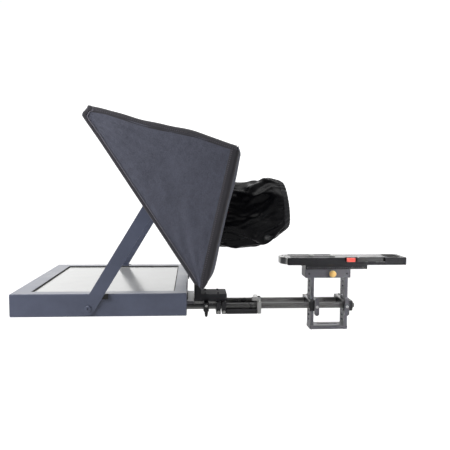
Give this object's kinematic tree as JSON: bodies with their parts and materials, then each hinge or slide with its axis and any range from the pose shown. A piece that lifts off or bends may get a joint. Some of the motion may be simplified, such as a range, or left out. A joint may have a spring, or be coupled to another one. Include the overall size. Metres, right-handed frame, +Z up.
{
  "type": "teleprompter",
  "caption": "Rod-mounted teleprompter: flat monitor under a leaning beam-splitter glass with a fabric hood, a lens sleeve and a height-adjustable camera platform.",
  "frame": {"origin": "middle of the bottom face of the base plate, where it is screwed to a tripod head", "axes": "+Z up, +Y from the presenter towards the camera, +X towards the side that carries the clamp levers"},
  "size_m": [0.414, 0.821, 0.4705],
  "materials": {
    "slate_paint": "fine satin powder coat",
    "black_anodised": "black anodised, satin",
    "grey_anodised": "dark grey anodised, satin",
    "satin_silver": "satin nickel",
    "black_plastic": "moulded, matte",
    "black_rubber": "matte",
    "hood_cloth": "blackout nylon, fine plain weave",
    "sleeve_cloth": "thin proofed nylon, slight sheen",
    "splitter_glass": "half-mirror coating",
    "screen_film": "anti-glare film",
    "light_guide": "acrylic light guide and foils",
    "board": "printed circuit board",
    "brass": "polished",
    "red_plastic": "moulded, semi-gloss"
  },
  "bodies": {
    "base": {"base_plate": "black_anodised", "base_clamp_front": "black_anodised", "base_clamp_rear": "satin_silver", "base_clamp_screw": "satin_silver", "rod_left": "black_anodised", "rod_right": "black_anodised"},
    "base_lever": {"base_lever": "satin_silver"},
    "carriage": {"tower_bracket": "black_anodised", "tower_clamp_front": "black_anodised", "tower_clamp_rear": "black_anodised", "tower_clamp_screw": "satin_silver", "hinge_lower_leaf": "black_anodised", "hinge_pin": "satin_silver", "monitor_frame": "slate_paint", "monitor_bottom_cover": "grey_anodised", "screen_panel": "screen_film", "backlight_module": "light_guide", "driver_board": "board", "power_socket": "black_plastic", "monitor_tray": "grey_anodised", "arm_pivot_screw_left": "satin_silver", "arm_pivot_screw_right": "satin_silver", "arm_stop_left": "black_rubber", "arm_stop_right": "black_rubber"},
    "tower_lever": {"tower_lever": "black_plastic"},
    "power_button": {"power_button": "black_plastic"},
    "menu_button_up": {"menu_button_up": "black_plastic"},
    "menu_button_down": {"menu_button_down": "black_plastic"},
    "arm_left": {"arm_left": "slate_paint"},
    "arm_right": {"arm_right": "slate_paint"},
    "arm_knob_left": {"arm_knob_left": "black_plastic"},
    "arm_knob_right": {"arm_knob_right": "black_plastic"},
    "glass_frame": {"glass_rail_left": "slate_paint", "glass_rail_right": "slate_paint", "glass_rail_bottom": "slate_paint", "glass_rail_top": "slate_paint", "beam_splitter_glass": "splitter_glass", "hinge_upper_leaf": "black_anodised", "stay_lug_left": "black_plastic", "stay_lug_right": "black_plastic", "hood_side_left": "hood_cloth", "hood_side_right": "hood_cloth", "hood_top": "hood_cloth", "hood_rear": "hood_cloth", "lens_sleeve": "sleeve_cloth"},
    "hood_stay": {"hood_stay": "black_anodised"},
    "riser_carriage": {"rod_bridge_front": "black_anodised", "rod_bridge_rear": "black_anodised"},
    "bridge_knob_front": {"bridge_knob_front": "grey_anodised"},
    "bridge_knob_rear": {"bridge_knob_rear": "grey_anodised"},
    "riser": {"upright_front": "grey_anodised", "upright_rear": "grey_anodised", "riser_foot_bar": "grey_anodised", "riser_head": "grey_anodised"},
    "slide_lock_knob": {"slide_lock_knob": "brass"},
    "platform": {"slide_plate": "black_anodised", "camera_plate": "black_anodised", "camera_plate_nose": "satin_silver"},
    "release_button": {"release_button": "red_plastic"},
    "release_lever": {"release_lever": "black_plastic"}
  },
  "joints": [
    {"name": "carriage_slide", "type": "slide", "parent": "base", "child": "carriage", "axis": [0, -1, 0], "range_m": [0, 0.06]},
    {"name": "base_lever_turn", "type": "hinge", "parent": "base", "child": "base_lever", "pos_m": [0.03, 0.0338, 0.0272], "axis": [0, 0, 1], "range_deg": [-90, 60]},
    {"name": "tower_lever_turn", "type": "hinge", "parent": "carriage", "child": "tower_lever", "pos_m": [0.042, -0.083, 0.0206], "axis": [1, 0, 0], "range_deg": [-70, 70]},
    {"name": "power_button_press", "type": "slide", "parent": "carriage", "child": "power_button", "axis": [0, -1, 0], "range_m": [0, 0.0012], "stiffness_N_per_m": 500},
    {"name": "menu_button_up_press", "type": "slide", "parent": "carriage", "child": "menu_button_up", "axis": [0, -1, 0], "range_m": [0, 0.0012], "stiffness_N_per_m": 500},
    {"name": "menu_button_down_press", "type": "slide", "parent": "carriage", "child": "menu_button_down", "axis": [0, -1, 0], "range_m": [0, 0.0012], "stiffness_N_per_m": 500},
    {"name": "glass_fold", "type": "hinge", "parent": "carriage", "child": "glass_frame", "pos_m": [0, -0.099, 0.092], "axis": [1, 0, 0], "range_deg": [0, 57]},
    {"name": "arm_left_fold", "type": "hinge", "parent": "carriage", "child": "arm_left", "pos_m": [-0.1973, -0.3085, 0.05], "axis": [1, 0, 0], "range_deg": [0, 121]},
    {"name": "arm_right_fold", "type": "hinge", "parent": "carriage", "child": "arm_right", "pos_m": [0.1973, -0.3085, 0.05], "axis": [1, 0, 0], "range_deg": [0, 121]},
    {"name": "arm_knob_left_turn", "type": "hinge", "parent": "arm_left", "child": "arm_knob_left", "pos_m": [-0.1973, -0.19006, 0.24496], "axis": [1, 0, 0], "continuous": true},
    {"name": "arm_knob_right_turn", "type": "hinge", "parent": "arm_right", "child": "arm_knob_right", "pos_m": [0.1973, -0.19006, 0.24496], "axis": [1, 0, 0], "continuous": true},
    {"name": "hood_stay_fold", "type": "hinge", "parent": "glass_frame", "child": "hood_stay", "pos_m": [0, -0.09566, 0.11519], "axis": [1, 0, 0], "range_deg": [0, 36]},
    {"name": "riser_slide", "type": "slide", "parent": "base", "child": "riser_carriage", "axis": [0, 1, 0], "range_m": [-0.07, 0.004]},
    {"name": "bridge_knob_front_turn", "type": "hinge", "parent": "riser_carriage", "child": "bridge_knob_front", "pos_m": [0.042, 0.1605, 0.0156], "axis": [1, 0, 0], "continuous": true},
    {"name": "bridge_knob_rear_turn", "type": "hinge", "parent": "riser_carriage", "child": "bridge_knob_rear", "pos_m": [0.042, 0.2275, 0.0156], "axis": [1, 0, 0], "continuous": true},
    {"name": "riser_height", "type": "slide", "parent": "riser_carriage", "child": "riser", "axis": [0, 0, 1], "range_m": [-0.034, 0.034]},
    {"name": "slide_lock_knob_turn", "type": "hinge", "parent": "riser", "child": "slide_lock_knob", "pos_m": [0.022, 0.1996, 0.08525], "axis": [1, 0, 0], "continuous": true},
    {"name": "camera_plate_slide", "type": "slide", "parent": "riser", "child": "platform", "axis": [0, 1, 0], "range_m": [-0.03, 0.03]},
    {"name": "release_button_press", "type": "slide", "parent": "platform", "child": "release_button", "axis": [-1, 0, 0], "range_m": [0, 0.0028], "stiffness_N_per_m": 600},
    {"name": "release_lever_turn", "type": "hinge", "parent": "platform", "child": "release_lever", "pos_m": [0.026, 0.2575, 0.115], "axis": [0, 0, 1], "range_deg": [-50, 0]}
  ],
  "couplings": [
    {"joint": "arm_left_fold", "follows": "glass_fold", "ratio": 2.12},
    {"joint": "arm_right_fold", "follows": "glass_fold", "ratio": 2.12}
  ]
}
